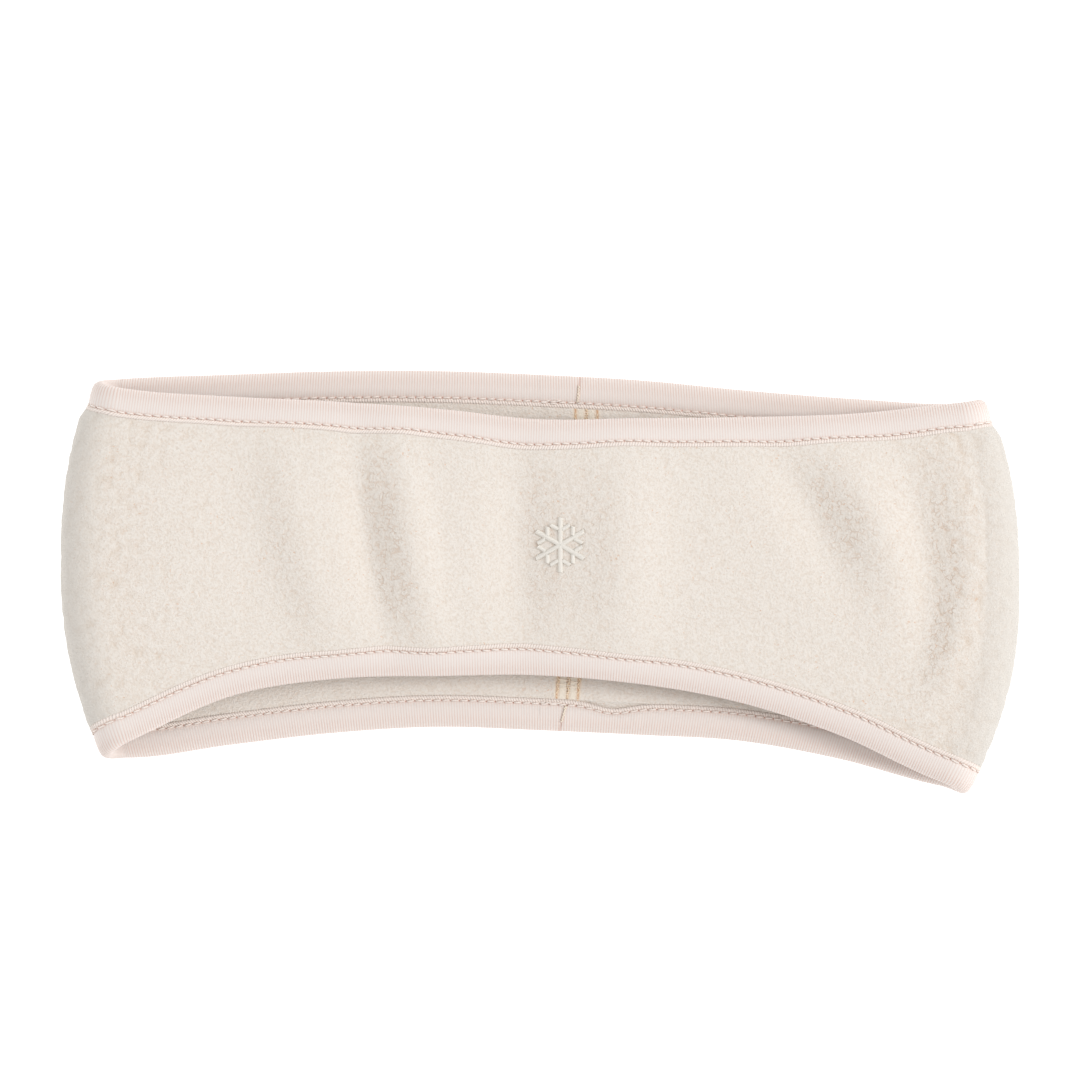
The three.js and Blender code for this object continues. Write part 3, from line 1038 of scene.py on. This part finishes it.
def make_ornament(material):
    centre = np.array(ornament_centre)
    bars = []
    for arm in range(6):
        turn = math.radians(60 * arm + 30)
        ahead = np.array([math.cos(turn), math.sin(turn)])
        bars.append(satin_bar(centre + ahead * arm_from, centre + ahead * ornament_reach, arm_half))
        for lean in (-60, 60):
            spread = turn + math.radians(lean)
            off = np.array([math.cos(spread), math.sin(spread)])
            foot = centre + ahead * branch_from
            bars.append(satin_bar(foot + off * branch_foot, foot + off * branch_end, branch_half))
    flat = np.concatenate(bars)
    arch = np.cos(np.linspace(-1, 1, satin_points) * math.pi / 2) ** 0.5
    height = np.broadcast_to(fleece_half - 0.05 + satin_rise * arch, flat.shape[:2])
    paths = on_front(flat[..., 0], flat[..., 1], height)
    above = on_front(flat[..., 0], flat[..., 1], height + 1)
    return tubes("snowflake", paths, satin_radius, above - paths, material)


# Light, floor and camera


def aim_at_band(obj):
    obj.rotation_euler = (-obj.location).to_track_quat("-Z", "Y").to_euler()


def add_light(name, place, size, power):
    light = bpy.data.lights.new(name, "AREA")
    light.size = size
    light.energy = power
    obj = bpy.data.objects.new(name, light)
    bpy.context.scene.collection.objects.link(obj)
    obj.location = place
    aim_at_band(obj)


def make_floor():
    """A pale plane that glows a little, just under the band."""
    half = 1.5
    drop = 0.0003
    n = Nodes("floor")
    n.feed(n.shader, Base_Color=(0.1, 0.1, 0.1, 1), Roughness=0.9)
    n.feed(n.shader, Emission_Color=(1, 1, 1, 1), Emission_Strength=1.25)
    corners = [(-half, -half, 0), (half, -half, 0), (half, half, 0), (-half, half, 0)]
    mesh = bpy.data.meshes.new("floor")
    mesh.from_pydata(corners, [], [(0, 1, 2, 3)])
    mesh.materials.append(n.material)
    floor = bpy.data.objects.new("floor", mesh)
    floor.location.z = -drop
    bpy.context.scene.collection.objects.link(floor)


def make_studio():
    """Even light from all round, a key light from the right and a weak fill light from the left."""
    world = bpy.data.worlds.new("studio")
    world.use_nodes = True
    background = world.node_tree.nodes["Background"]
    background.inputs["Color"].default_value = (1, 1, 1, 1)
    background.inputs["Strength"].default_value = 0.735
    bpy.context.scene.world = world
    bpy.context.scene.view_settings.view_transform = "Standard"
    add_light("key", place=(3.5, 0.4, 3.6), size=1.7, power=98.0)
    add_light("fill", place=(-3.6, 0.0, 1.3), size=1.2, power=7.0)


def make_camera():
    """Straight above the band, which takes up most of the picture's width."""
    frame_width = 287.3 * MM
    distance = 2.0
    centre_y = 11.0 * MM
    camera = bpy.data.cameras.new("camera")
    camera.sensor_width = 36
    camera.lens = camera.sensor_width * distance / frame_width
    obj = bpy.data.objects.new("camera", camera)
    obj.location = (0, centre_y, distance)
    bpy.context.scene.collection.objects.link(obj)
    bpy.context.scene.camera = obj


def main():
    make_camera()
    make_studio()
    make_floor()
    fleece = make_fleece(fleece_material())
    tape_finish = tape_material()
    pink = thread_material("pink_thread", thread_pink, thread_groove_shade, 0.5)
    tan = thread_material("tan_thread", thread_tan, thread_tan_groove_shade, 0.6)
    cream = thread_material("cream_thread", thread_cream, thread_cream_groove_shade, 0.6)
    silver = thread_material("silver_thread", thread_silver, thread_silver_groove_shade, 0.45)

    top = Tape("top", *tape_values["top"])
    bottom = Tape("bottom", *tape_values["bottom"])
    for tape in (top, bottom):
        edge = tape.edge
        make_binding(edge + "_tape", tape, tape_finish)
        for face, side in ((1, "outer"), (-1, "inner")):
            make_lip(f"{edge}_{side}_lip", tape, face, pink)
            make_stitches(f"{edge}_{side}_stitches", tape, face, pink)
        make_joint_threads(edge + "_joint_threads", tape, cream)
    make_back_tack("top_back_tack", top, -11.0, 3.0, pink)
    make_back_tack("bottom_back_tack", bottom, -4.0, 4.0, pink)
    make_cover_threads("seam_cover_threads", 0.13, cream)
    make_seam("seam_stitches", (-seam_column, 0.0, seam_column), 0.6, 0.19, tan)
    make_ornament(silver)


main()
